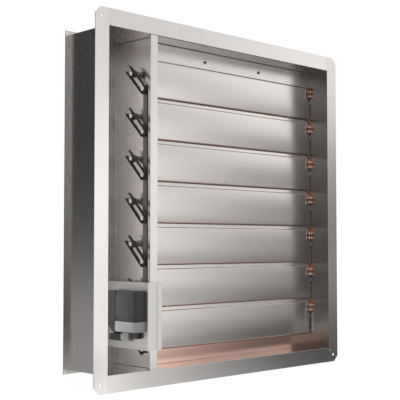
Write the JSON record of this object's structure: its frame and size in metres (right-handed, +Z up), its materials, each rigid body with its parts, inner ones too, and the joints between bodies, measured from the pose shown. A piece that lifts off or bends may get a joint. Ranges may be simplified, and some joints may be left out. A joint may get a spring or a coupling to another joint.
{
  "type": "fire damper",
  "caption": "Multi-blade fire damper: square flanged steel casing, parallel blades on shafts, side compartment with levers, tie bar and actuator.",
  "frame": {"origin": "centre of the front flange's face", "axes": "+X to the right seen from the front, +Y along the duct into the casing, +Z up"},
  "size_m": [1.1, 0.195, 1.1],
  "materials": {
    "casing_steel": "brushed stainless sheet",
    "blade_steel": "brushed stainless sheet",
    "copper_strip": "satin copper-coloured strip",
    "shaft_steel": "turned steel",
    "black_steel": "black finished steel",
    "dark_steel": "dark phosphated steel",
    "zinc_bolts": "bright zinc plate",
    "bright_rivets": "bright rivets",
    "dark_seal": "dark graphite seal",
    "bush_steel": "turned grey bush",
    "bronze_block": "cast bronze",
    "cast_housing": "fine cast aluminium",
    "dark_cover": "dark grey moulded plastic",
    "black_plastic": "black moulded plastic"
  },
  "bodies": {
    "casing": {"side_panel_left": "casing_steel", "side_panel_right": "casing_steel", "top_panel": "casing_steel", "bottom_panel": "casing_steel", "compartment_back": "casing_steel", "partition": "casing_steel", "casing_rivets": "bright_rivets", "top_stop": "casing_steel", "stop_screws": "bright_rivets", "bottom_stop": "copper_strip", "side_seals": "dark_seal", "bushes": "bush_steel", "blade_stops": "bronze_block", "end_stop_plate": "casing_steel", "actuator_bracket": "casing_steel", "bracket_screws": "zinc_bolts", "actuator_housing": "cast_housing", "actuator_cover": "dark_cover", "actuator_screws": "zinc_bolts", "terminal_box": "black_plastic", "cable_gland": "black_plastic", "end_stops": "black_plastic"},
    "blade_body_1": {"blade_1": "blade_steel", "seal_1": "copper_strip", "shaft_1": "shaft_steel", "crank_1": "black_steel", "crank_bolts_1": "zinc_bolts"},
    "blade_body_2": {"blade_2": "blade_steel", "seal_2": "copper_strip", "shaft_2": "shaft_steel", "crank_2": "black_steel", "crank_bolts_2": "zinc_bolts"},
    "blade_body_3": {"blade_3": "blade_steel", "seal_3": "copper_strip", "shaft_3": "shaft_steel", "crank_3": "black_steel", "crank_bolts_3": "zinc_bolts"},
    "blade_body_4": {"blade_4": "blade_steel", "seal_4": "copper_strip", "shaft_4": "shaft_steel", "crank_4": "black_steel", "crank_bolts_4": "zinc_bolts"},
    "blade_body_5": {"blade_5": "blade_steel", "seal_5": "copper_strip", "shaft_5": "shaft_steel", "crank_5": "black_steel", "crank_bolts_5": "zinc_bolts"},
    "blade_body_6": {"blade_6": "blade_steel", "seal_6": "copper_strip", "shaft_6": "shaft_steel", "crank_6": "black_steel", "crank_bolts_6": "zinc_bolts"},
    "blade_body_7": {"blade_7": "blade_steel", "seal_7": "copper_strip", "shaft_7": "shaft_steel", "crank_7": "black_steel", "crank_bolts_7": "zinc_bolts", "blade_tab": "casing_steel", "actuator_clamp": "black_steel"},
    "tie_bar_body": {"tie_bar": "dark_steel"}
  },
  "joints": [
    {"name": "blade_7_turn", "type": "hinge", "parent": "casing", "child": "blade_body_7", "pos_m": [0, 0.091, -0.3885], "axis": [-1, 0, 0], "range_deg": [0, 90]},
    {"name": "blade_1_turn", "type": "hinge", "parent": "casing", "child": "blade_body_1", "pos_m": [0, 0.091, 0.3915], "axis": [-1, 0, 0], "range_deg": [0, 90]},
    {"name": "blade_2_turn", "type": "hinge", "parent": "casing", "child": "blade_body_2", "pos_m": [0, 0.091, 0.2615], "axis": [-1, 0, 0], "range_deg": [0, 90]},
    {"name": "blade_3_turn", "type": "hinge", "parent": "casing", "child": "blade_body_3", "pos_m": [0, 0.091, 0.1315], "axis": [-1, 0, 0], "range_deg": [0, 90]},
    {"name": "blade_4_turn", "type": "hinge", "parent": "casing", "child": "blade_body_4", "pos_m": [0, 0.091, 0.0015], "axis": [-1, 0, 0], "range_deg": [0, 90]},
    {"name": "blade_5_turn", "type": "hinge", "parent": "casing", "child": "blade_body_5", "pos_m": [0, 0.091, -0.1285], "axis": [-1, 0, 0], "range_deg": [0, 90]},
    {"name": "blade_6_turn", "type": "hinge", "parent": "casing", "child": "blade_body_6", "pos_m": [0, 0.091, -0.2585], "axis": [-1, 0, 0], "range_deg": [0, 90]},
    {"name": "tie_bar_turn", "type": "hinge", "parent": "blade_body_7", "child": "tie_bar_body", "pos_m": [-0.3295, 0.03797, -0.44153], "axis": [-1, 0, 0], "range_deg": [-90, 0]}
  ],
  "couplings": [
    {"joint": "blade_1_turn", "follows": "blade_7_turn", "ratio": 1},
    {"joint": "blade_2_turn", "follows": "blade_7_turn", "ratio": 1},
    {"joint": "blade_3_turn", "follows": "blade_7_turn", "ratio": 1},
    {"joint": "blade_4_turn", "follows": "blade_7_turn", "ratio": 1},
    {"joint": "blade_5_turn", "follows": "blade_7_turn", "ratio": 1},
    {"joint": "blade_6_turn", "follows": "blade_7_turn", "ratio": 1},
    {"joint": "tie_bar_turn", "follows": "blade_7_turn", "ratio": -1}
  ]
}
